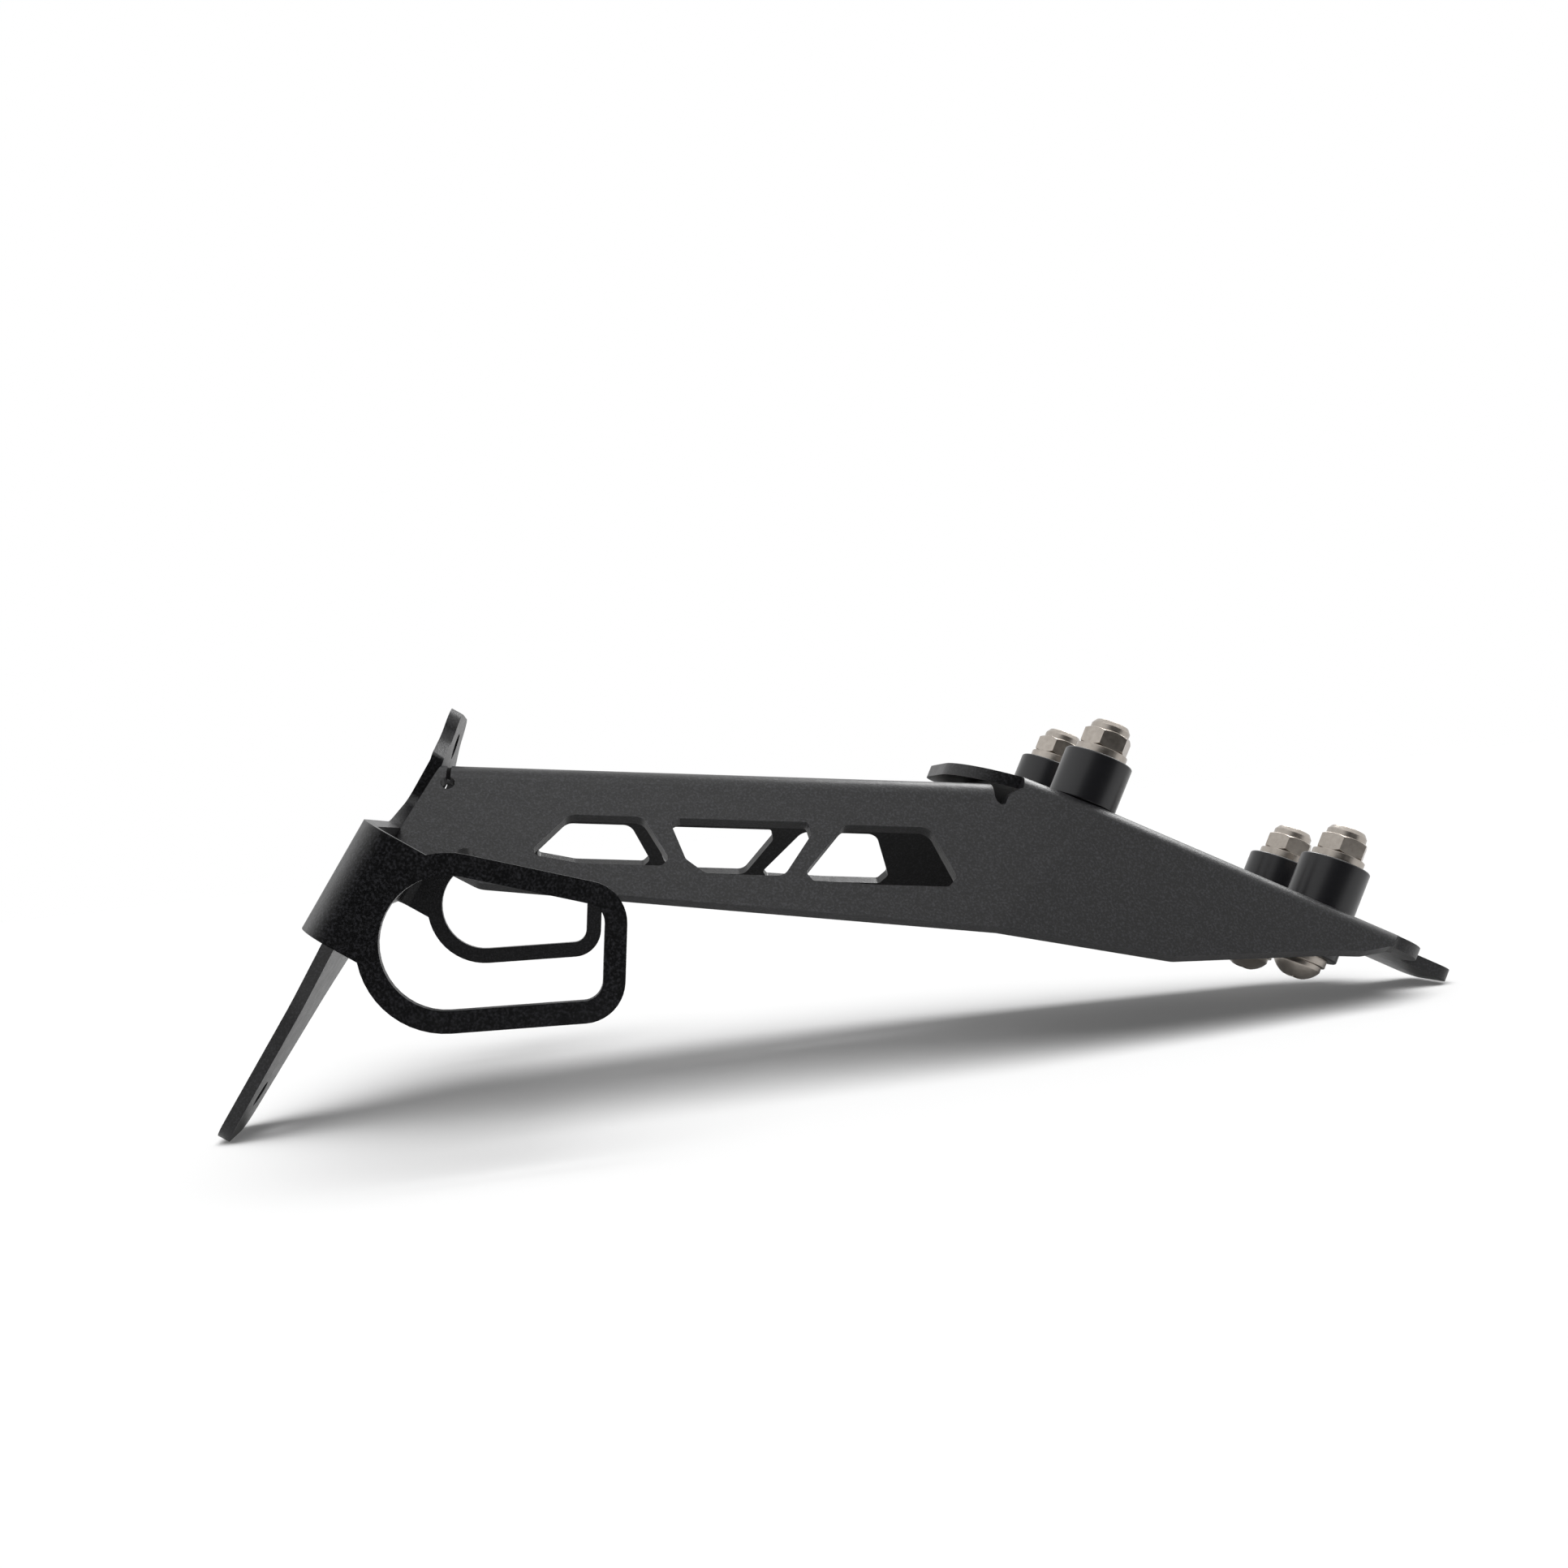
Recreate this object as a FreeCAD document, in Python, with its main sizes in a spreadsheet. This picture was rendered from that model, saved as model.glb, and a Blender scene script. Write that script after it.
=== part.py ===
"""Tail tidy bracket for a motorbike: a folded sheet arm that carries the plate and two lamp loops.

The frame sits on the mounting plate's top face, midway between its four bolts.
+X points to the front of the bike, +Z up, and the part is symmetric about the XZ plane.
"""
import FreeCAD, Part
import math
import os
from FreeCAD import Placement, Rotation, Vector

doc = FreeCAD.newDocument("plate_holder")

# Driving dimensions: millimetres, and degrees where the note says angle.
SIZES = [
    ("sheet_thick", 3.0, "steel sheet of the bracket"),
    ("plate_slope", 21.1, "angle, mounting plate falls towards the front"),
    ("plate_half_width", 27.5, "mounting plate, centre to the wall's mould line"),
    ("plate_bend_radius", 4.5, "outside radius of the bend beside the mounting plate"),
    ("front_wall_slant", 23.65, "angle of the front wall from the plate's normal"),
    ("wall_front", 48.2, "slope distance from the bolt centre to the front end of the walls"),
    ("wall_front_slant", 30.0, "angle of the walls' front ends from square across"),
    ("wall_front_radius", 2.0, "corner between the walls' front ends and the shoulders"),
    ("plate_front", 58.5, "slope distance from the bolt centre to the front of the shoulders"),
    ("shoulder_half_width", 24.2, "mounting plate at the shoulders, inside the bends"),
    ("shoulder_radius", 9.5, "round shoulders on both sides of the tab"),
    ("tab_length", 15.3, "front tab beyond the shoulders"),
    ("tab_drop", 0.5, "angle of the front tab under the mounting plate's plane"),
    ("tab_half_width", 9.0, "front tab"),
    ("tab_corner_radius", 4.0, "corners of the front tab"),
    ("tab_root_radius", 2.0, "inside corners where the tab starts"),
    ("tongue_length", 15.4, "rounded tongue behind the notch, over the end of the web"),
    ("tongue_half_width", 20.5, "tongue"),
    ("tongue_corner_radius", 14.0, "corners of the tongue"),
    ("tongue_drop", 8.0, "angle of the tongue under the mounting plate's plane"),
    ("web_height", 15.9, "top of the rear web above the origin"),
    ("web_half_width", 24.5, "rear web, centre to the wall's mould line"),
    ("web_bend_radius", 6.0, "outside radius of the bend beside the web"),
    ("rear_wall_slant", 30.0, "angle of the rear wall from upright"),
    ("web_end", 54.2, "front end of the web behind the origin"),
    ("notch_back", 52.4, "lowest point of the notch behind the origin"),
    ("notch_depth", 5.6, "lowest point of the notch under the web"),
    ("notch_tip_radius", 0.9, "lowest point of the notch"),
    ("notch_throat_ahead", 1.6, "lowest point of the notch to its throat, forwards"),
    ("notch_throat_rise", 2.9, "lowest point of the notch to its throat, upwards"),
    ("notch_throat_radius", 2.0, "throat of the notch"),
    ("notch_end_ahead", 5.3, "lowest point of the notch to the tongue's root, forwards"),
    ("notch_end_rise", 4.7, "lowest point of the notch to the tongue's root, upwards"),
    ("web_lip", 3.2, "height of the web's upright front end beside the notch"),
    ("web_lip_slant", 18.0, "angle of the notch's rear side from upright, under the lip"),
    ("rear_reach", 183.0, "top of the rear corner behind the origin"),
    ("windows_back", 21.5, "rear corner to the first window"),
    ("windows_front", 13.2, "last window to the lowest point of the notch"),
    ("back_lean", 27.5, "angle of the rear plate from upright"),
    ("ear_lean", 16.0, "angle of the ear from upright"),
    ("leg_lean", 28.2, "angle of the leg from upright"),
    ("relief_radius", 1.6, "relief hole in the corner of web, wall and rear plate"),
    ("slit_width", 1.0, "slit from the relief hole to the edge"),
    ("wire_hole_radius", 2.4, "cable tie hole low in the wall"),
    ("ear_top", 13.6, "top of the ear above the rear corner, up the plate"),
    ("ear_half_width", 20.5, "widest part of the ear"),
    ("ear_tip_half_width", 12.0, "top of the ear"),
    ("ear_flare", 1.2, "top of the ear to its middle, outwards"),
    ("ear_tip_radius", 5.5, "top corners of the ear"),
    ("ear_waist_radius", 6.0, "hollow sides of the ear"),
    ("ear_root_radius", 1.2, "corners where the ear meets the web"),
    ("neck_inset", 1.2, "widest part of the ear to the neck under it"),
    ("neck_drop", 10.5, "rear corner to the narrow part of the neck"),
    ("neck_radius", 4.0, "narrow part of the neck"),
    ("neck_flare", 12.0, "neck to where the wings' top edge starts"),
    ("neck_flare_radius", 10.0, "hollow corner between the neck and the wings"),
    ("wing_top", 16.5, "top edge of the wings under the rear corner, down the plate"),
    ("wing_height", 24.0, "height of the wings"),
    ("wing_half_span", 82.5, "centre to the outside of the lamp flanges"),
    ("wing_bend_radius", 6.5, "outside radius of the bend beside the flanges"),
    ("leg_bend_depth", 3.0, "lower edge of the wings to the slight bend of the leg"),
    ("leg_length", 101.5, "rear corner to the leg's lower end, down the plate"),
    ("leg_root_half_width", 29.0, "leg under the wings"),
    ("leg_root_flare", 10.0, "leg's root to where the wings' lower edge starts"),
    ("leg_root_radius", 5.0, "hollow corner between the leg and the wings"),
    ("leg_waist", 21.0, "slight bend of the leg to its waist, down the leg"),
    ("leg_waist_inset", 2.0, "hollow of the leg's sides at the waist"),
    ("leg_waist_radius", 25.0, "hollow sides of the leg"),
    ("leg_half_width", 11.5, "leg at its lower end"),
    ("leg_corner_radius", 6.0, "corners of the leg's lower end"),
    ("fixing_hole_radius", 3.25, "holes and slots that hold the number plate"),
    ("fixing_slot_length", 16.0, "slots in the wings"),
    ("fixing_slot_half_pitch", 52.0, "centre to the slots in the wings"),
    ("ear_hole_height", 6.0, "hole in the ear above the rear corner"),
    ("leg_hole_rise", 11.5, "hole in the leg above its lower end"),
    ("loop_back", 176.2, "centre of the lamp loop behind the origin"),
    ("loop_depth", 20.5, "centre of the lamp loop under the origin"),
    ("loop_radius", 12.9, "round end of the loop's opening"),
    ("loop_reach", 30.05, "loop centre to the straight side of its opening"),
    ("loop_width", 4.3, "band round the loop's opening"),
    ("loop_top_fall", 10.35, "angle of the loop's top side"),
    ("loop_bottom_rise", 5.5, "angle of the loop's lower side"),
    ("loop_corner_radius", 3.8, "corners of the loop's opening"),
    ("bolt_pitch", 65.6, "front bolts to rear bolts, along the slope"),
    ("rear_bolt_half_gauge", 17.3, "centre to the rear bolts"),
    ("front_bolt_half_gauge", 13.8, "centre to the front bolts"),
    ("bolt_diameter", 6.0, "bolts"),
    ("bolt_hole_clearance", 0.3, "radial, bolt to plate and spacers"),
    ("washer_clearance", 0.2, "radial, bolt to washers"),
    ("thread_clearance", 0.03, "radial, bolt to nut"),
    ("bolt_stand_out", 0.4, "end of the bolt above the nut"),
    ("bolt_tip_height", 0.8, "cone at the bolt's end"),
    ("bolt_tip_chamfer", 0.7, "cone at the bolt's end, radial"),
    ("spacer_diameter", 16.4, "spacers"),
    ("spacer_height", 12.0, "spacers on the plate"),
    ("lower_spacer_height", 8.5, "spacers under the plate"),
    ("spacer_chamfer", 0.3, "edges of the spacers"),
    ("washer_diameter", 12.4, "washers"),
    ("washer_thick", 2.0, "washers"),
    ("head_diameter", 11.0, "round bolt heads"),
    ("head_height", 4.6, "round bolt heads"),
    ("head_rim", 1.3, "straight rim of the bolt heads"),
    ("socket_flats", 4.0, "hexagon socket in the bolt heads"),
    ("socket_depth", 2.4, "hexagon socket in the bolt heads"),
    ("nut_flats", 10.4, "lock nuts across flats"),
    ("nut_hex_height", 4.4, "hexagon part of the lock nuts"),
    ("nut_chamfer", 0.6, "height of the cones that trim the hexagon's corners"),
    ("nut_flat_inset", 0.15, "small end of those cones inside the flats"),
    ("collar_diameter", 9.4, "collar that holds the nylon ring"),
    ("collar_tip_diameter", 7.9, "top of the collar"),
    ("collar_height", 2.4, "collar above the hexagon"),
    ("collar_taper_height", 1.1, "tapered top of the collar"),
    ("insert_diameter", 7.4, "nylon ring"),
    ("insert_height", 1.7, "nylon ring"),
]

# The outlines of the three windows in each wall.
# Each point gives the distance in front of the first window's rear end, the depth down the wall
# from its mould line, and the radius of the corner there.
WINDOWS = [
    [(0.0, 21.6, 1.5), (8.2, 12.1, 3.5), (25.0, 12.1, 3.5), (30.8, 22.6, 1.2), (29.1, 24.6, 1.2),
     (10.9, 24.6, 6.0), (1.4, 22.9, 0.8)],
    [(31.2, 13.6, 0.8), (33.5, 12.2, 0.8), (62.6, 12.2, 0.8), (63.3, 15.4, 0.8), (56.5, 26.3, 3.0),
     (39.0, 26.3, 3.0), (34.5, 22.7, 1.5)],
    [(61.4, 25.2, 1.0), (71.0, 12.6, 3.5), (91.0, 12.6, 3.5), (95.9, 25.3, 1.2), (93.7, 27.9, 1.2),
     (78.3, 27.9, 6.0), (63.0, 27.3, 0.8)],
]

# The wall's lower edge, in the same measures. Its rear part counts from the rear corner.
REAR_EDGE = [(-90.0, 26.8, 0.0), (4.0, 26.8, 4.0), (10.5, 30.3, 6.0), (43.5, 32.2, 20.0)]

# Its front part counts from the origin.
FRONT_EDGE = [(-59.5, 37.6, 20.0), (-42.1, 38.8, 15.0), (-15.5, 40.6, 8.0), (0.4, 38.6, 20.0),
              (24.4, 35.5, 12.0), (33.5, 34.9, 8.0), (40.5, 33.1, 3.0), (60.0, 33.1, 0.0)]

# Holes in the wall near the rear corner, centre in front of the corner and down the wall.
RELIEF_CENTRE = (2.0, 4.7)
WIRE_HOLE_CENTRE = (6.9, 24.0)

REACH = 400.0
"""Larger than the part, for the blocks that stand for half spaces."""

SEAM = 0.01
"""A step that keeps the end of an arc off the corner of the next piece."""

sheet = doc.addObject("Spreadsheet::Sheet", "Sizes")
for row, (alias, value, note) in enumerate(SIZES, start=1):
    sheet.set("A%d" % row, alias)
    sheet.set("B%d" % row, str(value))
    sheet.set("C%d" % row, note)
    sheet.setAlias("B%d" % row, alias)
doc.recompute()


def size(alias):
    """Read one driving dimension from the sheet."""
    return float(sheet.get(alias))


def sin(angle):
    return math.sin(math.radians(angle))


def cos(angle):
    return math.cos(math.radians(angle))


def tan(angle):
    return math.tan(math.radians(angle))


THICK = size("sheet_thick")
SLOPE = size("plate_slope")
LEAN = size("back_lean")

# Directions of the mounting plate: along it to the front, and out of its top face.
ALONG = Vector(cos(SLOPE), 0, -sin(SLOPE))
PLATE_NORMAL = Vector(sin(SLOPE), 0, cos(SLOPE))
ACROSS = Vector(0, 1, 0)

# Directions of the rear plate: up it, and out of its front face.
REAR_CORNER = Vector(-size("rear_reach"), 0, size("web_height"))
UP_BACK = Vector(sin(LEAN), 0, cos(LEAN))
BACK_NORMAL = Vector(cos(LEAN), 0, -sin(LEAN))

# The near wall of the arm: its mould line, the way down it and out of it.
WALL_ORIGIN = Vector(-size("rear_reach"), -size("web_half_width"), size("web_height"))
DOWN_WALL = Vector(0, -sin(size("rear_wall_slant")), -cos(size("rear_wall_slant")))
OUT_OF_WALL = Vector(0, -cos(size("rear_wall_slant")), sin(size("rear_wall_slant")))
FRONT_WALL_OUT = PLATE_NORMAL * sin(size("front_wall_slant")) - ACROSS * cos(size("front_wall_slant"))


def rounded_wire(corners):
    """Closed wire through corners, each a point and the radius of its arc."""
    edges = []
    count = len(corners)
    ends = []
    for index in range(count):
        point, radius = corners[index]
        before = (corners[index - 1][0] - point).normalize()
        after = (corners[(index + 1) % count][0] - point).normalize()
        if radius <= 0:
            ends.append((point, None, point))
            continue
        half = before.getAngle(after) / 2
        setback = radius / math.tan(half)
        middle_way = (before + after).normalize()
        middle = point + middle_way * (radius / math.sin(half) - radius)
        ends.append((point + before * setback, middle, point + after * setback))
    for index in range(count):
        start, middle, finish = ends[index]
        if middle is not None:
            edges.append(Part.Arc(start, middle, finish).toShape())
        following = ends[(index + 1) % count][0]
        if finish.distanceToPoint(following) > 1e-6:
            edges.append(Part.makeLine(finish, following))
    return Part.Wire(edges)


def prism(corners, direction, low, high):
    """Solid between two offsets of a rounded outline along a direction."""
    face = Part.Face(rounded_wire(corners))
    face.translate(direction * low)
    return face.extrude(direction * (high - low))


def mirrored(shape):
    """The same shape on the other side of the centre plane."""
    return shape.mirror(Vector(0, 0, 0), ACROSS)


def both_sides(shape):
    return [shape, mirrored(shape)]


def half_space(point, normal):
    """Block that stands for everything behind a plane."""
    block = Part.makeBox(2 * REACH, 2 * REACH, REACH, Vector(-REACH, -REACH, -REACH))
    block.Placement = Placement(point, Rotation(Vector(0, 0, 1), normal))
    return block


def channel(top_point, top_normal, span, offset, radius):
    """Solid under a flat top and between the four wall planes, all moved inwards by offset."""
    solid = half_space(top_point - top_normal * offset, top_normal)
    rear_point = Vector(0, -size("web_half_width"), size("web_height"))
    front_point = Vector(0, -size("plate_half_width"), 0)
    for point, normal in ((rear_point, OUT_OF_WALL), (front_point, FRONT_WALL_OUT)):
        for side in both_sides(half_space(point - normal * offset, normal)):
            solid = solid.common(side)
    back, front = span
    solid = solid.common(Part.makeBox(front - back, REACH / 2, REACH / 2, Vector(back, -REACH / 4, -REACH / 8)))
    level = top_normal.dot(top_point) - offset
    bends = []
    for edge in solid.Edges:
        middle = edge.valueAt((edge.FirstParameter + edge.LastParameter) / 2)
        along_arm = abs(edge.tangentAt(edge.FirstParameter).x) > 0.5
        if abs(top_normal.dot(middle) - level) < 1e-4 and along_arm:
            bends.append(edge)
    return solid.makeFillet(radius, bends)


def folded_channel(top_point, top_normal, span, outer_radius):
    """Sheet folded over a flat top: the channel less the same channel one thickness in."""
    outer = channel(top_point, top_normal, span, 0.0, outer_radius)
    inner = channel(top_point, top_normal, span, THICK, outer_radius - THICK)
    return outer.cut(inner)


def on_wall(front, depth):
    """Point on the near wall's plane, from the rear corner."""
    return WALL_ORIGIN + Vector(front, 0, 0) + DOWN_WALL * depth


def wall_cut(corners):
    """Prism through the near wall, square to the sheet."""
    points = [(on_wall(front, depth), radius) for front, depth, radius in corners]
    return prism(points, OUT_OF_WALL, -REACH / 13, REACH / 20)


def window_cuts():
    """The windows, spread over the wall between the rear corner and the notch."""
    drawn = max(front for front, depth, radius in WINDOWS[-1])
    first = size("windows_back")
    row = size("rear_reach") - size("notch_back") - size("windows_front") - first
    return [wall_cut([(first + front * row / drawn, depth, radius) for front, depth, radius in window])
            for window in WINDOWS]


def make_arm():
    """Two folded channels, one along the web and one under the mounting plate, that share walls."""
    kink = -size("notch_back")
    behind = -size("rear_reach") - REACH / 8
    ahead = size("plate_front") + size("tab_length")
    web = folded_channel(Vector(0, 0, size("web_height")), Vector(0, 0, 1), (behind, kink), size("web_bend_radius"))
    web = web.cut(half_space(REAR_CORNER, BACK_NORMAL))
    plate = folded_channel(Vector(0, 0, 0), PLATE_NORMAL, (kink, ahead), size("plate_bend_radius"))
    arm = web.fuse(plate.common(plate_outline()))

    reach = size("rear_reach")
    edge = list(REAR_EDGE) + [(reach + x, depth, radius) for x, depth, radius in FRONT_EDGE]
    below = edge + [(edge[-1][0], REACH / 4, 0.0), (edge[0][0], REACH / 4, 0.0)]
    for cut in [wall_cut(below)] + window_cuts():
        arm = arm.cut(both_sides(cut))
    for (front, depth), radius in ((RELIEF_CENTRE, size("relief_radius")),
                                   (WIRE_HOLE_CENTRE, size("wire_hole_radius"))):
        start = on_wall(front, depth) - OUT_OF_WALL * 2 * THICK
        arm = arm.cut(both_sides(Part.makeCylinder(radius, 4 * THICK, start, OUT_OF_WALL)))
    front, depth = RELIEF_CENTRE
    half_slit = size("slit_width") / 2
    slit = [(front - half_slit, depth, 0), (front - half_slit, -2 * THICK, 0),
            (front + half_slit, -2 * THICK, 0), (front + half_slit, depth, 0)]
    arm = arm.cut(both_sides(wall_cut(slit)))
    return arm.cut(notch())


def plate_outline():
    """Column over the mounting plate's plan: wide over the walls, then in to round shoulders."""
    front = size("plate_front")
    wide = REACH / 6
    shoulder = size("shoulder_half_width")
    wall_front = size("wall_front")
    slant = tan(size("wall_front_slant")) * (wide - shoulder)
    half = [(-REACH / 4, wide, 0), (wall_front - slant, wide, 0),
            (wall_front, shoulder, size("wall_front_radius")), (front, shoulder, size("shoulder_radius"))]
    plan = half + [(x, -y, radius) for x, y, radius in reversed(half)]
    corners = [(ALONG * x + ACROSS * y, radius) for x, y, radius in plan]
    return prism(corners, PLATE_NORMAL, -REACH / 5, REACH / 20)


def make_tab():
    """Narrow tab in front of the shoulders, bent down a little from the mounting plate."""
    forward = ALONG * cos(size("tab_drop")) - PLATE_NORMAL * sin(size("tab_drop"))
    wide = size("tab_half_width")
    root = size("tab_root_radius")
    half = [(0, wide + root + SEAM, 0), (SEAM, wide + root + SEAM, 0), (SEAM, wide, root),
            (size("tab_length"), wide, size("tab_corner_radius"))]
    plan = half + [(x, -y, radius) for x, y, radius in reversed(half)]
    start = ALONG * size("plate_front")
    corners = [(start + forward * x + ACROSS * y, radius) for x, y, radius in plan]
    return prism(corners, PLATE_NORMAL, -THICK, 0)


def notch_low():
    """Lowest point of the notch, seen from the side."""
    return Vector(-size("notch_back"), 0, size("web_height") - size("notch_depth"))


def notch_corner():
    """Where the tongue leaves the walls, on the underside of the mounting plate."""
    return notch_low() + Vector(size("notch_end_ahead"), 0, size("notch_end_rise"))


def notch():
    """Gap in both walls where the web ends under the tongue."""
    low = notch_low()
    throat = low + Vector(size("notch_throat_ahead"), 0, size("notch_throat_rise"))
    lip = Vector(-size("web_end"), 0, size("web_height") - size("web_lip"))
    foot = lip + Vector(tan(size("web_lip_slant")), 0, -1)
    above = size("web_height") + REACH / 20
    corners = [(low, size("notch_tip_radius")), (throat, size("notch_throat_radius")),
               (notch_corner(), 0), (notch_corner() + PLATE_NORMAL * REACH / 25, 0),
               (Vector(lip.x, 0, above), 0), (lip, 0), (foot, 0)]
    return prism(corners, ACROSS, -REACH / 8, REACH / 8)


def make_tongue():
    """Rounded tongue that runs on from the mounting plate over the end of the web."""
    start = ALONG * ALONG.dot(notch_corner())
    backward = (ALONG * cos(size("tongue_drop")) + PLATE_NORMAL * sin(size("tongue_drop"))) * -1
    wide = size("tongue_half_width")
    length = size("tongue_length")
    radius = size("tongue_corner_radius")
    plan = [(0, wide, 0), (length, wide, radius), (length, -wide, radius), (0, -wide, 0)]
    corners = [(start + backward * x + ACROSS * y, radius) for x, y, radius in plan]
    return prism(corners, PLATE_NORMAL, -THICK, 0)


def bolt_places():
    """Signed slope distance and side of each bolt."""
    places = []
    for end, along in (("rear", -1), ("front", 1)):
        for side, across in (("near", -1), ("far", 1)):
            places.append((end, side, along, across))
    return places


def bolt_holes():
    holes = []
    radius = size("bolt_diameter") / 2 + size("bolt_hole_clearance")
    for end, side, along, across in bolt_places():
        gauge = size(end + "_bolt_half_gauge")
        base = ALONG * (along * size("bolt_pitch") / 2) + ACROSS * (across * gauge)
        holes.append(Part.makeCylinder(radius, 3 * THICK, base - PLATE_NORMAL * 2 * THICK, PLATE_NORMAL))
    return holes


def on_back(across, up):
    """Point on the front face of the rear plate, of the ear above it or of the leg below it."""
    bend = -size("wing_top") - size("wing_height") - size("leg_bend_depth")
    flat = min(max(up, bend), 0.0)
    point = REAR_CORNER + ACROSS * across + UP_BACK * flat
    lean = size("ear_lean") if up > flat else size("leg_lean")
    return point + Vector(sin(lean), 0, cos(lean)) * (up - flat)


def back_panel(half):
    """One flat part of the rear sheet, from the outline of its far half."""
    outline = half + [(-across, up, radius) for across, up, radius in reversed(half)]
    corners = [(on_back(across, up), radius) for across, up, radius in outline]
    return prism(corners, BACK_NORMAL, -THICK, 0)


def make_back():
    """Rear plate: the ear over the web, two wings and the leg, cut from the same sheet."""
    ear = size("ear_half_width")
    tip = size("ear_tip_half_width")
    top = size("ear_top")
    wing_end = size("wing_half_span") - size("wing_bend_radius")
    wing_low = -size("wing_top") - size("wing_height")
    bend = wing_low - size("leg_bend_depth")
    root = size("leg_root_half_width")
    foot = size("leg_half_width")
    neck = ear - size("neck_inset")
    flare = neck + size("neck_flare")
    waist = (root + foot) / 2 - size("leg_waist_inset")
    panels = [
        back_panel([(tip, top, size("ear_tip_radius")), (tip + size("ear_flare"), top / 2, size("ear_waist_radius")),
                    (ear, top / 8, size("ear_root_radius")), (ear, 0, 0)]),
        back_panel([(ear, 0, 0), (neck, -size("neck_drop"), size("neck_radius")),
                    (flare, -size("wing_top"), size("neck_flare_radius")), (wing_end, -size("wing_top"), 0),
                    (wing_end, wing_low, 0), (root + size("leg_root_flare"), wing_low, size("leg_root_radius")),
                    (root, bend, 0)]),
        back_panel([(root, bend, 0), (waist, bend - size("leg_waist"), size("leg_waist_radius")),
                    (foot, -size("leg_length"), size("leg_corner_radius"))])]
    back = panels[0].fuse(panels[1:])

    radius = size("fixing_hole_radius")
    for up in (size("ear_hole_height"), size("leg_hole_rise") - size("leg_length")):
        along = (on_back(0, up + 1) - on_back(0, up)).normalize()
        out = ACROSS.cross(along)
        back = back.cut(Part.makeCylinder(radius, 4 * THICK, on_back(0, up) - out * 2 * THICK, out))
    middle = -size("wing_top") - size("wing_height") / 2
    half_slot = size("fixing_slot_length") / 2
    centre = size("fixing_slot_half_pitch")
    slot = [(on_back(centre + x, middle + y), radius - SEAM)
            for x, y in ((-half_slot, -radius), (half_slot, -radius), (half_slot, radius), (-half_slot, radius))]
    return back.cut(both_sides(prism(slot, BACK_NORMAL, -2 * THICK, THICK)))


def make_wing_bend():
    """Quarter turn of sheet from the far wing into its lamp flange."""
    outer = size("wing_bend_radius")
    inner = outer - THICK
    centre = on_back(size("wing_half_span") - outer, -size("wing_top") - size("wing_height"))
    centre = centre + BACK_NORMAL * inner
    quarter = [(outer, 0), (inner, 0), (inner, 90), (outer, 90)]
    at = [centre + ACROSS * (radius * cos(turn)) - BACK_NORMAL * (radius * sin(turn)) for radius, turn in quarter]
    halfway = ACROSS * cos(45) - BACK_NORMAL * sin(45)
    section = Part.Wire([Part.makeLine(at[0], at[1]),
                         Part.Arc(at[1], centre + halfway * inner, at[2]).toShape(),
                         Part.makeLine(at[2], at[3]),
                         Part.Arc(at[3], centre + halfway * outer, at[0]).toShape()])
    return Part.Face(section).extrude(UP_BACK * size("wing_height"))


def loop_outline(centre, grow):
    """Closed D: a circle whose two tangents run to a straight side, all moved out by grow."""
    radius = size("loop_radius") + grow
    side = size("loop_reach") + grow
    fall = size("loop_top_fall")
    rise = size("loop_bottom_rise")
    bend = size("loop_corner_radius") + grow
    top_tangent = centre + Vector(radius * sin(fall), 0, radius * cos(fall))
    low_tangent = centre + Vector(radius * sin(rise), 0, -radius * cos(rise))
    top_corner = centre + Vector(side, 0, (radius - side * sin(fall)) / cos(fall))
    low_corner = centre + Vector(side, 0, -(radius - side * sin(rise)) / cos(rise))
    top_back = (top_tangent - top_corner).normalize()
    low_back = (low_tangent - low_corner).normalize()
    up = Vector(0, 0, 1)
    edges = [Part.Arc(top_tangent, centre - Vector(radius, 0, 0), low_tangent).toShape()]
    last = low_tangent
    for corner, one_way, other_way in ((low_corner, low_back, up), (top_corner, up * -1, top_back)):
        half = one_way.getAngle(other_way) / 2
        start = corner + one_way * (bend / math.tan(half))
        finish = corner + other_way * (bend / math.tan(half))
        inward = (one_way + other_way).normalize()
        edges.append(Part.makeLine(last, start))
        edges.append(Part.Arc(start, corner + inward * (bend / math.sin(half) - bend), finish).toShape())
        last = finish
    edges.append(Part.makeLine(last, top_tangent))
    return Part.Face(Part.Wire(edges))


def make_lamp_flange():
    """Far flange: the band that runs on from the wing's bend and the loop that holds a lamp."""
    inside = size("wing_half_span") - THICK
    centre = Vector(-size("loop_back"), inside, -size("loop_depth"))
    bend_end = on_back(inside, -size("wing_top")) + BACK_NORMAL * (size("wing_bend_radius") - THICK)
    to_loop = (centre - bend_end).dot(BACK_NORMAL)
    down = UP_BACK * -size("wing_height")
    corners = [bend_end, bend_end + BACK_NORMAL * to_loop, bend_end + BACK_NORMAL * to_loop + down, bend_end + down]
    band = Part.Face(Part.makePolygon(corners + corners[:1]))
    flange = band.extrude(ACROSS * THICK).fuse(loop_outline(centre, size("loop_width")).extrude(ACROSS * THICK))
    opening = loop_outline(centre, 0.0)
    opening.translate(ACROSS * -THICK)
    return flange.cut(opening.extrude(ACROSS * 3 * THICK))


def make_bracket():
    """The whole folded sheet as one solid."""
    solid = make_arm().fuse([make_tongue(), make_tab()]).cut(bolt_holes())
    wing = make_wing_bend().fuse(make_lamp_flange())
    solid = solid.fuse([make_back()] + both_sides(wing)).removeSplitter()
    return solid.Solids[0] if len(solid.Solids) == 1 else solid


bracket = doc.addObject("Part::Feature", "bracket")
bracket.Shape = make_bracket()
bracket.Placement = Placement()
bracket.Label = "bracket"
pieces = [bracket]


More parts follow.
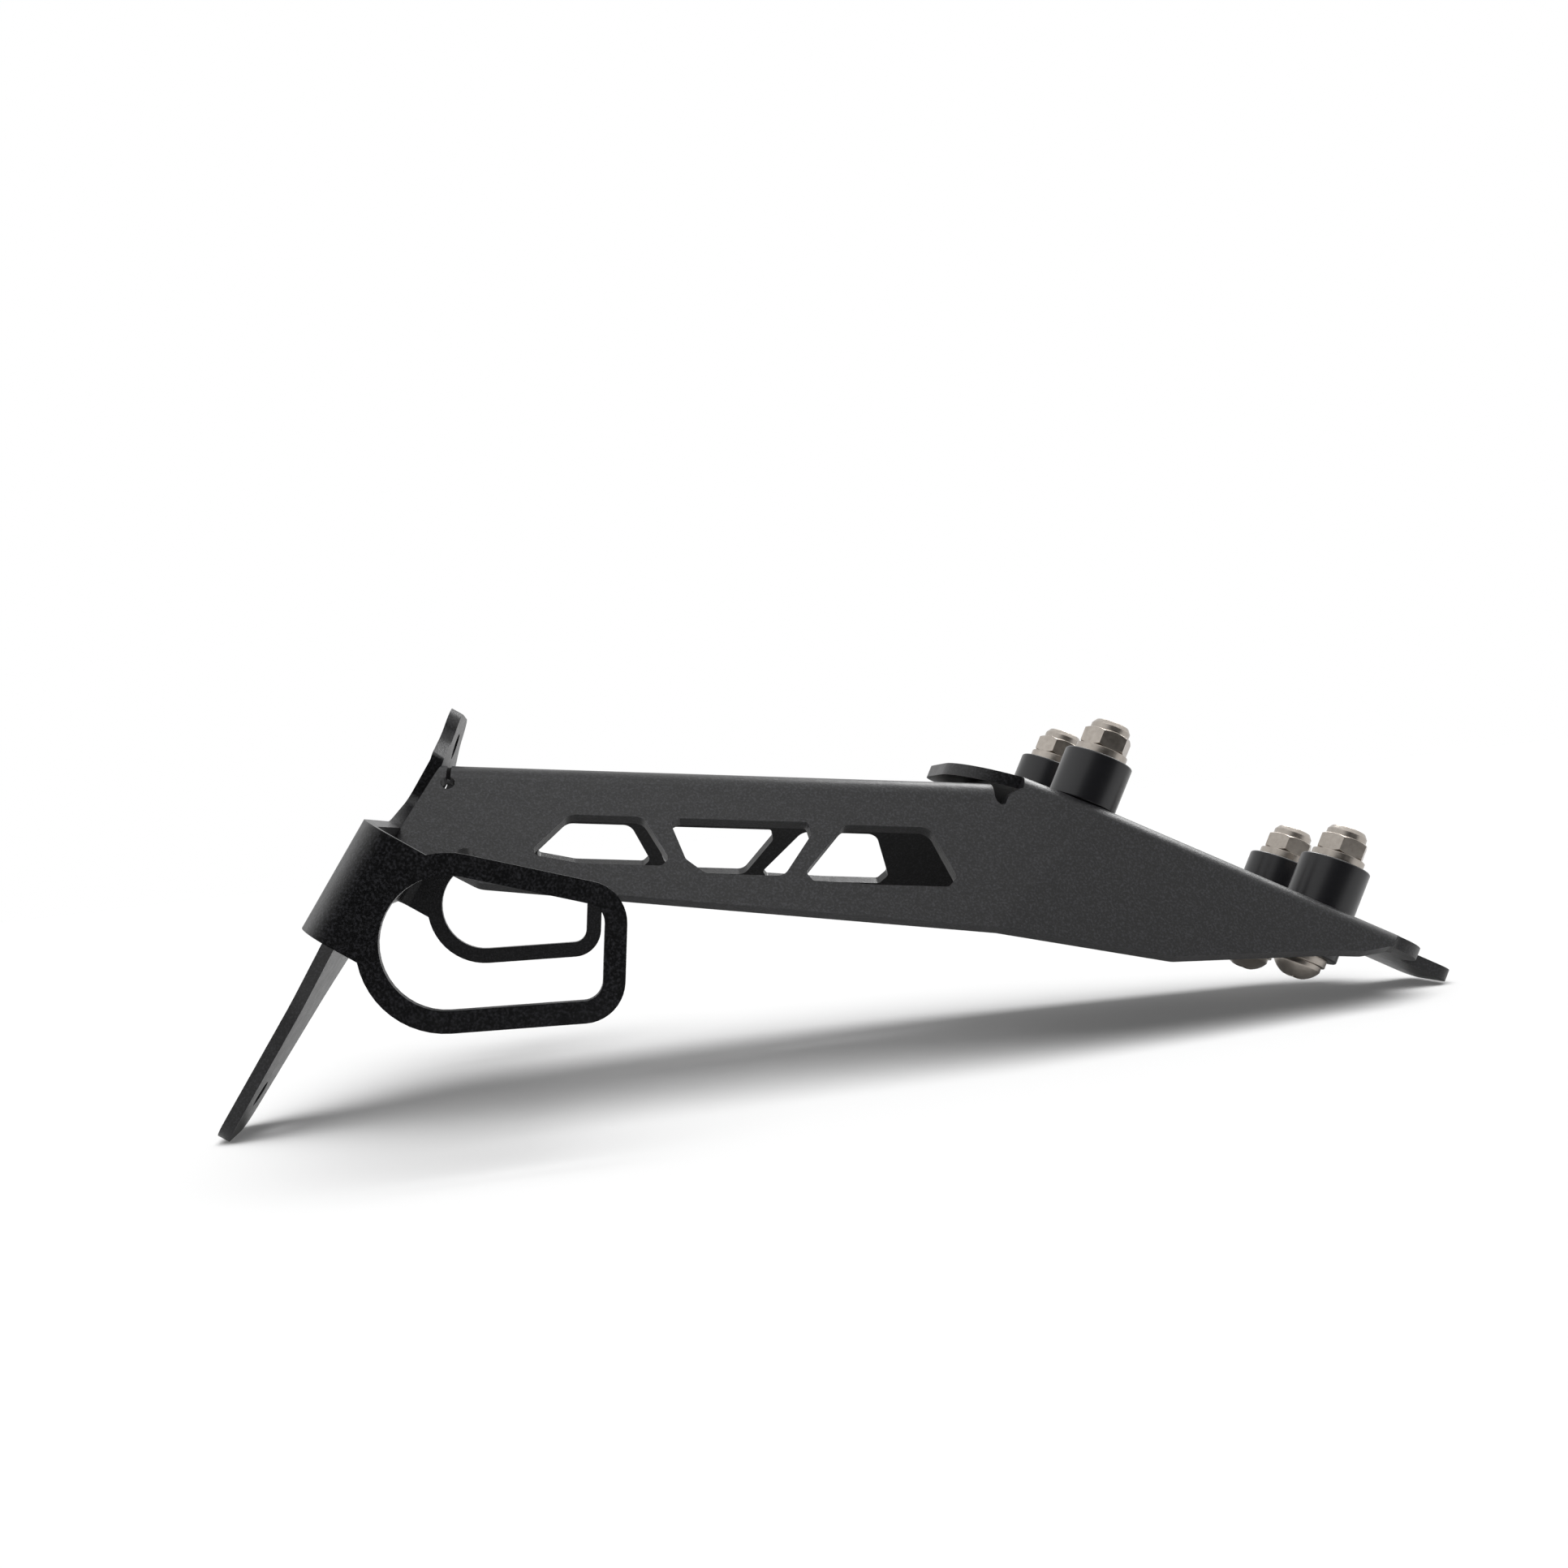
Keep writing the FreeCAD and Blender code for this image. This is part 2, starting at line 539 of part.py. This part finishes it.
def cylinder(name, radius, height, base="0"):
    """Cylinder along the bolt axis, its sizes given as formulas on the sheet."""
    item = doc.addObject("Part::Cylinder", name)
    item.setExpression("Radius", radius)
    item.setExpression("Height", height)
    item.setExpression("Placement.Base.z", base)
    return item


def cone(name, low_radius, high_radius, height, base="0"):
    item = doc.addObject("Part::Cone", name)
    item.setExpression("Radius1", low_radius)
    item.setExpression("Radius2", high_radius)
    item.setExpression("Height", height)
    item.setExpression("Placement.Base.z", base)
    return item


def hexagon(name, flats, height, base="0"):
    item = doc.addObject("Part::Prism", name)
    item.Polygon = 6
    item.setExpression("Circumradius", "%s / 2 / cos(30)" % flats)
    item.setExpression("Height", height)
    item.setExpression("Placement.Base.z", base)
    return item


def joined(name, parts):
    item = doc.addObject("Part::MultiFuse", name)
    item.Shapes = parts
    item.Refine = True
    return item


def less(name, base, tool):
    item = doc.addObject("Part::Cut", name)
    item.Base = base
    item.Tool = tool
    return item


def shared(name, first, second):
    item = doc.addObject("Part::Common", name)
    item.Base = first
    item.Tool = second
    return item


def put_on_plate(item, kind, place, lift):
    """Stand a piece on the mounting plate at one bolt, its foot lifted along the bolt's axis."""
    end, side, along, across = place
    slope_distance = "%d * Sizes.bolt_pitch / 2" % along
    item.Placement = Placement(Vector(), Rotation(ACROSS, SLOPE))
    item.setExpression("Placement.Base.x", "%s * cos(Sizes.plate_slope) + (%s) * sin(Sizes.plate_slope)"
                       % (slope_distance, lift))
    item.setExpression("Placement.Base.y", "%d * Sizes.%s_bolt_half_gauge" % (across, end))
    item.setExpression("Placement.Base.z", "(%s) * cos(Sizes.plate_slope) - %s * sin(Sizes.plate_slope)"
                       % (lift, slope_distance))
    item.Label = "_".join([kind, end, side])
    pieces.append(item)


def spacer(name, height):
    """Round spacer with small chamfers and a clearance bore."""
    full = "Sizes.spacer_diameter / 2"
    edge = "Sizes.spacer_chamfer"
    small = "%s - %s" % (full, edge)
    body = joined(name + "_body", [
        cone(name + "_foot", small, full, edge),
        cylinder(name + "_barrel", full, "%s - 2 * %s" % (height, edge), edge),
        cone(name + "_crown", full, small, edge, "%s - %s" % (height, edge))])
    bore = cylinder(name + "_bore", "Sizes.bolt_diameter / 2 + Sizes.bolt_hole_clearance", height)
    return less(name, body, bore)


def washer(name):
    """Plain washer."""
    ring = cylinder(name + "_ring", "Sizes.washer_diameter / 2", "Sizes.washer_thick")
    hole = cylinder(name + "_hole", "Sizes.bolt_diameter / 2 + Sizes.washer_clearance", "Sizes.washer_thick")
    return less(name, ring, hole)


def bolt(name):
    """Bolt with a round head: local zero is the head's seat, the shank points up."""
    length = ("(2 * Sizes.washer_thick + Sizes.lower_spacer_height + Sizes.sheet_thick + Sizes.spacer_height"
              " + Sizes.nut_hex_height + Sizes.collar_height + Sizes.bolt_stand_out)")
    straight = length + " - Sizes.bolt_tip_height"
    shank = cylinder(name + "_shank", "Sizes.bolt_diameter / 2", straight)
    tip = cone(name + "_tip", "Sizes.bolt_diameter / 2", "Sizes.bolt_diameter / 2 - Sizes.bolt_tip_chamfer",
               "Sizes.bolt_tip_height", straight)
    blank = cylinder(name + "_blank", "Sizes.head_diameter / 2", "Sizes.head_height", "-Sizes.head_height")
    rise = "(Sizes.head_height - Sizes.head_rim)"
    ball_radius = "((Sizes.head_diameter ^ 2 / 4 + %s ^ 2) / (2 * %s))" % (rise, rise)
    ball = doc.addObject("Part::Sphere", name + "_ball")
    ball.setExpression("Radius", ball_radius)
    ball.setExpression("Placement.Base.z", "%s - Sizes.head_height" % ball_radius)
    head = shared(name + "_head", blank, ball)
    socket = hexagon(name + "_socket", "Sizes.socket_flats", "Sizes.socket_depth", "-Sizes.head_height")
    return less(name, joined(name + "_solid", [head, shank, tip]), socket)


def nut(name):
    """Lock nut: chamfered hexagon with a domed collar, bored through and hollowed for its ring."""
    corner = "Sizes.nut_flats / 2 / cos(30)"
    flat = "Sizes.nut_flats / 2 - Sizes.nut_flat_inset"
    slant = "Sizes.nut_chamfer"
    turned = joined(name + "_turned", [
        cone(name + "_lower", flat, corner, slant),
        cylinder(name + "_middle", corner, "Sizes.nut_hex_height - 2 * %s" % slant, slant),
        cone(name + "_upper", corner, flat, slant, "Sizes.nut_hex_height - %s" % slant)])
    hexagonal = shared(name + "_hexagonal", hexagon(name + "_prism", "Sizes.nut_flats", "Sizes.nut_hex_height"),
                       turned)
    straight = "(Sizes.collar_height - Sizes.collar_taper_height)"
    collar = joined(name + "_collar", [
        cylinder(name + "_collar_foot", "Sizes.collar_diameter / 2", straight, "Sizes.nut_hex_height"),
        cone(name + "_collar_top", "Sizes.collar_diameter / 2", "Sizes.collar_tip_diameter / 2",
             "Sizes.collar_taper_height", "Sizes.nut_hex_height + %s" % straight)])
    total = "Sizes.nut_hex_height + Sizes.collar_height"
    bore = cylinder(name + "_bore", "Sizes.bolt_diameter / 2 + Sizes.thread_clearance", total)
    seat = cylinder(name + "_seat", "Sizes.insert_diameter / 2", "Sizes.insert_height", "%s - Sizes.insert_height" % total)
    return less(name, joined(name + "_solid", [hexagonal, collar]), joined(name + "_hollow", [bore, seat]))


def insert(name):
    """Nylon ring in the collar."""
    ring = cylinder(name + "_ring", "Sizes.insert_diameter / 2", "Sizes.insert_height")
    hole = cylinder(name + "_hole", "Sizes.bolt_diameter / 2 + Sizes.thread_clearance", "Sizes.insert_height")
    return less(name, ring, hole)


upper_washer = "Sizes.spacer_height"
nut_seat = upper_washer + " + Sizes.washer_thick"
insert_seat = nut_seat + " + Sizes.nut_hex_height + Sizes.collar_height - Sizes.insert_height"
lower_spacer = "-Sizes.sheet_thick - Sizes.lower_spacer_height"
lower_washer = lower_spacer + " - Sizes.washer_thick"

for place in bolt_places():
    mark = place[0] + "_" + place[1]
    put_on_plate(spacer("spacer_" + mark, "Sizes.spacer_height"), "spacer", place, "0")
    put_on_plate(spacer("lower_spacer_" + mark, "Sizes.lower_spacer_height"), "lower_spacer", place, lower_spacer)
    put_on_plate(washer("washer_top_" + mark), "washer_top", place, upper_washer)
    put_on_plate(washer("washer_bottom_" + mark), "washer_bottom", place, lower_washer)
    put_on_plate(bolt("bolt_" + mark), "bolt", place, lower_washer)
    put_on_plate(nut("nut_" + mark), "nut", place, nut_seat)
    put_on_plate(insert("insert_" + mark), "insert", place, insert_seat)

doc.recompute()

for item in doc.Objects:
    if "Invalid" in item.State or "Error" in item.State:
        raise RuntimeError("%s failed: %s" % (item.Name, item.State))
for piece in pieces:
    shape = piece.Shape
    if shape.isNull() or not shape.isValid() or len(shape.Solids) != 1:
        raise RuntimeError("%s is not one valid solid" % piece.Label)

os.makedirs("parts", exist_ok=True)
for piece in pieces:
    piece.Shape.exportStep("parts/%s.step" % piece.Label)
    print("%-26s %10.1f mm3" % (piece.Label, piece.Shape.Volume))
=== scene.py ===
import math

import bpy
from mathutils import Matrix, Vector


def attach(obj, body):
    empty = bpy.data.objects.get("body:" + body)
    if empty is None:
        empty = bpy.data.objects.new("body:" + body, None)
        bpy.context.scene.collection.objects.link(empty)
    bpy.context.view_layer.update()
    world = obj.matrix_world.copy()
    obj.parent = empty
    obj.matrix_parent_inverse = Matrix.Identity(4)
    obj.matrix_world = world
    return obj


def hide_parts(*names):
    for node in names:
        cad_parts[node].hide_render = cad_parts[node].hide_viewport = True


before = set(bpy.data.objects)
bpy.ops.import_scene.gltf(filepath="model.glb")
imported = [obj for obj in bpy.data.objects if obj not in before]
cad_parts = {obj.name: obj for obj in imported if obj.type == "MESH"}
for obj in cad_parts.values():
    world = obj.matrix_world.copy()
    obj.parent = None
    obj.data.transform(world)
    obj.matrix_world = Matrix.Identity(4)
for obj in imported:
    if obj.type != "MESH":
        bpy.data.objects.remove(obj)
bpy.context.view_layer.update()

# The camera: a normal lens held close to the near side, level with the arm, and turned a few
# degrees so that the far lamp loop shows through the near one. The photograph is cropped to the
# left of the lens axis, which is the small shift.
bpy.ops.object.camera_add(
    location=(-0.1559, -0.3756, 0.0005),
    rotation=(math.radians(92.0737), math.radians(-1.6956), math.radians(-4.1111)),
)
camera = bpy.context.object
camera.data.lens = 35.0
camera.data.sensor_width = 36.0
camera.data.shift_x = 0.075
camera.data.clip_start = 0.01
bpy.context.scene.camera = camera
bpy.context.scene.view_settings.view_transform = "Standard"


# The floor: a white sweep table. The holder stands on it on the end of its leg and on its front
# tab, so the floor slopes against the part's own axes. It is matt, and it is a touch brighter to
# the camera, so that it clears to white and keeps the soft shadow.
def linear(code):
    """One sRGB hex colour as the linear RGBA that the shaders take."""
    parts = [int(code[i : i + 2], 16) / 255 for i in (1, 3, 5)]
    return [p / 12.92 if p <= 0.04045 else ((p + 0.055) / 1.055) ** 2.4 for p in parts] + [1.0]


def add_node(tree, kind, settings=(), links=()):
    """Adds a node, sets its properties and input values, and links outputs to its inputs."""
    node = tree.nodes.new(kind)
    for name, value in dict(settings).items():
        if hasattr(node, str(name)):
            setattr(node, name, value)
        else:
            node.inputs[name].default_value = value
    for name, output in dict(links).items():
        tree.links.new(output, node.inputs[name])
    return node


def empty_material(name):
    """A new material with no nodes in it."""
    material = bpy.data.materials.new(name)
    material.use_nodes = True
    material.node_tree.nodes.clear()
    return material


def only_seen(tree, unseen, shown):
    """Shows one shader to the lens, in reflections and through glass, and lights with the other."""
    path = add_node(tree, "ShaderNodeLightPath")
    seen = path.outputs["Is Camera Ray"]
    for ray in ("Is Glossy Ray", "Is Transmission Ray"):
        either = add_node(tree, "ShaderNodeMath", {"operation": "MAXIMUM"},
                          {0: seen, 1: path.outputs[ray]})
        seen = either.outputs[0]
    return add_node(tree, "ShaderNodeMixShader", {},
                    {0: seen, 1: unseen.outputs[0], 2: shown.outputs[0]})


# the floor passes just under the end of the leg and just under the tab
under_leg = Vector((-0.2345, 0.0, -0.0745))
under_tab = Vector((0.0692, 0.0, -0.0297))
along = under_tab - under_leg
bpy.ops.mesh.primitive_plane_add(
    size=8.0,
    location=(under_leg + under_tab) / 2,
    rotation=(0.0, -math.atan2(along.z, along.x), 0.0),
)
floor = bpy.context.object
floor.name = "floor"
floor_paint = empty_material("white floor paint")
tree = floor_paint.node_tree
paint = add_node(tree, "ShaderNodeBsdfDiffuse", {"Color": linear("#E4E4E4")})
glow = add_node(tree, "ShaderNodeEmission", {"Color": linear("#FFFFFF"), "Strength": 0.10})
both = add_node(tree, "ShaderNodeAddShader", {}, {0: paint.outputs[0], 1: glow.outputs[0]})
chosen = only_seen(tree, paint, both)
add_node(tree, "ShaderNodeOutputMaterial", {}, {"Surface": chosen.outputs[0]})
floor.data.materials.append(floor_paint)

# The light: a white studio. The floor's even light and its soft shadow come from a wide overhead
# bank, three soft boxes draw the sheens on the walls and the bends, and the room is white to the
# lens and in reflections. A dark card stands behind the camera, so that faces turned to the lens
# stay black.
world = bpy.data.worlds.new("white studio")
bpy.context.scene.world = world
world.use_nodes = True
world.node_tree.nodes.clear()
tree = world.node_tree
room = add_node(tree, "ShaderNodeBackground", {"Color": linear("#FFFFFF"), "Strength": 0.22})
backdrop = add_node(tree, "ShaderNodeBackground", {"Color": linear("#FFFFFF"), "Strength": 1.0})
chosen = only_seen(tree, room, backdrop)
add_node(tree, "ShaderNodeOutputWorld", {}, {"Surface": chosen.outputs[0]})


def lamp(kind, name, place, aim, strength):
    """A lamp of one kind at a place, turned to face a point."""
    bpy.ops.object.light_add(type=kind, location=place)
    made = bpy.context.object
    made.name = name
    made.data.energy = strength
    made.rotation_mode = "QUATERNION"
    made.rotation_quaternion = (Vector(aim) - Vector(place)).to_track_quat("-Z", "Y")
    return made


# the bank stands square over the sloping floor, but for 22 degrees towards the lens
bank = lamp("SUN", "overhead_bank", (-0.131, -0.375, 0.918), (0.0, 0.0, 0.0), 3.3)
bank.data.angle = math.radians(72)
bank.visible_glossy = False
# the boxes are there for the highlights only: the high ones for the walls and the crest, and the
# low one for the bends of the wings
for name, place, strength in (
    ("left_box", (-0.20, -0.25, 0.62), 0.7),
    ("right_box", (0.3, 0.36, 0.58), 5.0),
    ("low_left_box", (-0.66, 0.04, 0.10), 0.8),
):
    box = lamp("AREA", name, place, (-0.08, 0.0, -0.02), strength)
    box.data.shape = "RECTANGLE"
    box.data.size = 0.5
    box.data.size_y = 0.35
    box.visible_diffuse = False

bpy.ops.mesh.primitive_plane_add(
    size=1.0,
    location=(-0.12, -0.51, 0.21),
    rotation=(math.radians(-36.6), 0.0, 0.0),
)
card = bpy.context.object
card.name = "dark_card"
card.scale = (0.8, 0.97, 1.0)
card_felt = empty_material("black felt card")
felt = add_node(card_felt.node_tree, "ShaderNodeBsdfDiffuse", {"Color": linear("#2A2A2A")})
add_node(card_felt.node_tree, "ShaderNodeOutputMaterial", {}, {"Surface": felt.outputs[0]})
card.data.materials.append(card_felt)
# the card is there for reflections only: it neither hides nor shades anything
card.visible_camera = False
card.visible_diffuse = False
card.visible_shadow = False


# The bracket: one 3 mm steel sheet, laser cut, folded and sprayed with a fine-textured satin
# black powder coat. The coat rounds every cut edge by a few tenths of a millimetre, and that
# thin round is what catches the light along the windows, the loops and the plate.
def finished_copy(node, name, edge, sharp):
    """The CAD node's own mesh as a new piece. Its corners over the sharp angle, in degrees, are
    rounded to the edge width, in metres, and its curved faces are smooth."""
    bpy.ops.object.select_all(action="DESELECT")
    piece = bpy.data.objects.new(name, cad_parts[node].data.copy())
    piece.data.name = name
    piece.data.materials.clear()
    bpy.context.scene.collection.objects.link(piece)
    bpy.context.view_layer.objects.active = piece
    piece.select_set(True)
    bpy.ops.mesh.customdata_custom_splitnormals_clear()
    bpy.ops.object.mode_set(mode="EDIT")
    bpy.ops.mesh.select_all(action="SELECT")
    # the split corners are merged and the flat faces made whole, so that only real edges round
    bpy.ops.mesh.remove_doubles(threshold=0.000004)
    bpy.ops.mesh.dissolve_limited(angle_limit=math.radians(0.6))
    bpy.ops.object.mode_set(mode="OBJECT")
    rounding = piece.modifiers.new("rounding", "BEVEL")
    rounding.width = edge
    rounding.segments = 2
    rounding.limit_method = "ANGLE"
    rounding.angle_limit = math.radians(sharp)
    rounding.use_clamp_overlap = True
    rounding.miter_outer = "MITER_ARC"
    bpy.ops.object.modifier_apply(modifier="rounding")
    bpy.ops.object.shade_smooth_by_angle(angle=math.radians(sharp), keep_sharp_edges=False)
    # the flat faces stay flat right up to the rounds
    flatten = piece.modifiers.new("flatten", "WEIGHTED_NORMAL")
    flatten.keep_sharp = True
    bpy.ops.object.modifier_apply(modifier="flatten")
    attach(piece, "root")
    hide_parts(node)
    return piece


powder_coat = empty_material("fine-textured satin black powder coat")
tree = powder_coat.node_tree
where = add_node(tree, "ShaderNodeTexCoord")
# the coat's sand-like grain is about half a millimetre across
grain = add_node(tree, "ShaderNodeTexNoise", {"Scale": 1900.0, "Detail": 2.0, "Roughness": 0.6},
                 {"Vector": where.outputs["Object"]})
specks = add_node(tree, "ShaderNodeMapRange", {"From Min": 0.46, "From Max": 0.72},
                  {"Value": grain.outputs["Fac"]})
# slow waves about 3 mm long and a third higher than the grain, as the melted powder levels itself
waves = add_node(tree, "ShaderNodeTexNoise", {"Scale": 330.0, "Detail": 1.0},
                 {"Vector": where.outputs["Object"]})
height = add_node(tree, "ShaderNodeMath", {"operation": "MULTIPLY_ADD", 1: 1.3},
                  {0: waves.outputs["Fac"], 2: grain.outputs["Fac"]})
bump = add_node(tree, "ShaderNodeBump", {"Strength": 0.4, "Distance": 0.00012},
                {"Height": height.outputs[0]})
tone = add_node(tree, "ShaderNodeMix",
                {"data_type": "RGBA", 6: linear("#060607"), 7: linear("#252528")},
                {0: specks.outputs["Result"]})
gloss = add_node(tree, "ShaderNodeMapRange", {"To Min": 0.34, "To Max": 0.44},
                 {"Value": waves.outputs["Fac"]})
coat = add_node(tree, "ShaderNodeBsdfPrincipled",
                {"Metallic": 0.0, "IOR": 1.5, "Specular IOR Level": 0.38},
                {"Base Color": tone.outputs[2], "Roughness": gloss.outputs[0],
                 "Normal": bump.outputs[0]})
add_node(tree, "ShaderNodeOutputMaterial", {}, {"Surface": coat.outputs[0]})

sheet = finished_copy("bracket", "bracket_sheet", edge=0.00025, sharp=32)
sheet.data.materials.append(powder_coat)

# The spacers: eight short round tubes, turned from aluminium bar and anodised black, a tall one
# over and a short one under the plate at each bolt. Their turned sides keep faint rings.
anodised = empty_material("turned black anodised aluminium")
tree = anodised.node_tree
where = add_node(tree, "ShaderNodeTexCoord")
# the rings are about 0.2 mm apart along the spacers' axes, which lean with the mounting plate
plate_slope = math.radians(21.1)
turned = add_node(tree, "ShaderNodeMapping",
                  {"Rotation": (0.0, -plate_slope, 0.0), "Scale": (40.0, 40.0, 5200.0)},
                  {"Vector": where.outputs["Object"]})
rings = add_node(tree, "ShaderNodeTexNoise", {"Scale": 1.0, "Detail": 1.0},
                 {"Vector": turned.outputs[0]})
bump = add_node(tree, "ShaderNodeBump", {"Strength": 0.12, "Distance": 0.00004},
                {"Height": rings.outputs["Fac"]})
tone = add_node(tree, "ShaderNodeMix",
                {"data_type": "RGBA", 6: linear("#0D0D0F"), 7: linear("#141417")},
                {0: rings.outputs["Fac"]})
skin = add_node(tree, "ShaderNodeBsdfPrincipled",
                {"Metallic": 0.0, "Roughness": 0.3, "IOR": 1.5, "Specular IOR Level": 0.45},
                {"Base Color": tone.outputs[2], "Normal": bump.outputs[0]})
add_node(tree, "ShaderNodeOutputMaterial", {}, {"Surface": skin.outputs[0]})

corners = ["rear_near", "rear_far", "front_near", "front_far"]
for corner in corners:
    for kind in ("spacer", "lower_spacer"):
        node = f"{kind}_{corner}"
        tube = finished_copy(node, f"{node}_turned", edge=0.00012, sharp=24)
        tube.data.materials.append(anodised)

# The bolts, washers and nuts: M6 hardware of plain stainless steel, cold formed and tumbled, which
# gives it soft and slightly warm reflections. The bolts are pushed up from below, with their round
# heads under the plate, and the lock nuts sit on plain washers on the tall spacers.
stainless = empty_material("plain A2 stainless steel")
tree = stainless.node_tree
where = add_node(tree, "ShaderNodeTexCoord")
# faint scuffs of about a millimetre, where tumbling has dulled the steel unevenly
scuffs = add_node(tree, "ShaderNodeTexNoise", {"Scale": 900.0, "Detail": 3.0, "Roughness": 0.6},
                  {"Vector": where.outputs["Object"]})
bump = add_node(tree, "ShaderNodeBump", {"Strength": 0.15, "Distance": 0.00005},
                {"Height": scuffs.outputs["Fac"]})
tone = add_node(tree, "ShaderNodeMix",
                {"data_type": "RGBA", 6: linear("#948D86"), 7: linear("#B4ADA5")},
                {0: scuffs.outputs["Fac"]})
gloss = add_node(tree, "ShaderNodeMapRange", {"To Min": 0.24, "To Max": 0.42},
                 {"Value": scuffs.outputs["Fac"]})
steel = add_node(tree, "ShaderNodeBsdfPrincipled", {"Metallic": 1.0},
                 {"Base Color": tone.outputs[2], "Roughness": gloss.outputs[0],
                  "Normal": bump.outputs[0]})
add_node(tree, "ShaderNodeOutputMaterial", {}, {"Surface": steel.outputs[0]})

for corner in corners:
    for kind in ("bolt", "washer_bottom", "washer_top", "nut"):
        node = f"{kind}_{corner}"
        item = finished_copy(node, f"{node}_steel", edge=0.00015, sharp=28)
        item.data.materials.append(stainless)

# The inserts: moulded rings of natural nylon, pressed into the collars of the lock nuts so that
# they grip the threads. The nylon is matt and milky, with a little light passing through it.
nylon = empty_material("natural nylon")
tree = nylon.node_tree
where = add_node(tree, "ShaderNodeTexCoord")
# the milkiness varies over two thirds of a millimetre
cloud = add_node(tree, "ShaderNodeTexNoise", {"Scale": 1500.0, "Detail": 2.0},
                 {"Vector": where.outputs["Object"]})
tone = add_node(tree, "ShaderNodeMix",
                {"data_type": "RGBA", 6: linear("#D9D2C3"), 7: linear("#EAE5DA")},
                {0: cloud.outputs["Fac"]})
bump = add_node(tree, "ShaderNodeBump", {"Strength": 0.1, "Distance": 0.00005},
                {"Height": cloud.outputs["Fac"]})
plastic = add_node(tree, "ShaderNodeBsdfPrincipled",
                   {"Metallic": 0.0, "Roughness": 0.5, "IOR": 1.53, "Subsurface Weight": 0.2,
                    "Subsurface Radius": (0.001, 0.001, 0.001)},
                   {"Base Color": tone.outputs[2], "Normal": bump.outputs[0]})
add_node(tree, "ShaderNodeOutputMaterial", {}, {"Surface": plastic.outputs[0]})
for corner in corners:
    node = f"insert_{corner}"
    ring = finished_copy(node, f"{node}_nylon", edge=0.0001, sharp=28)
    ring.data.materials.append(nylon)
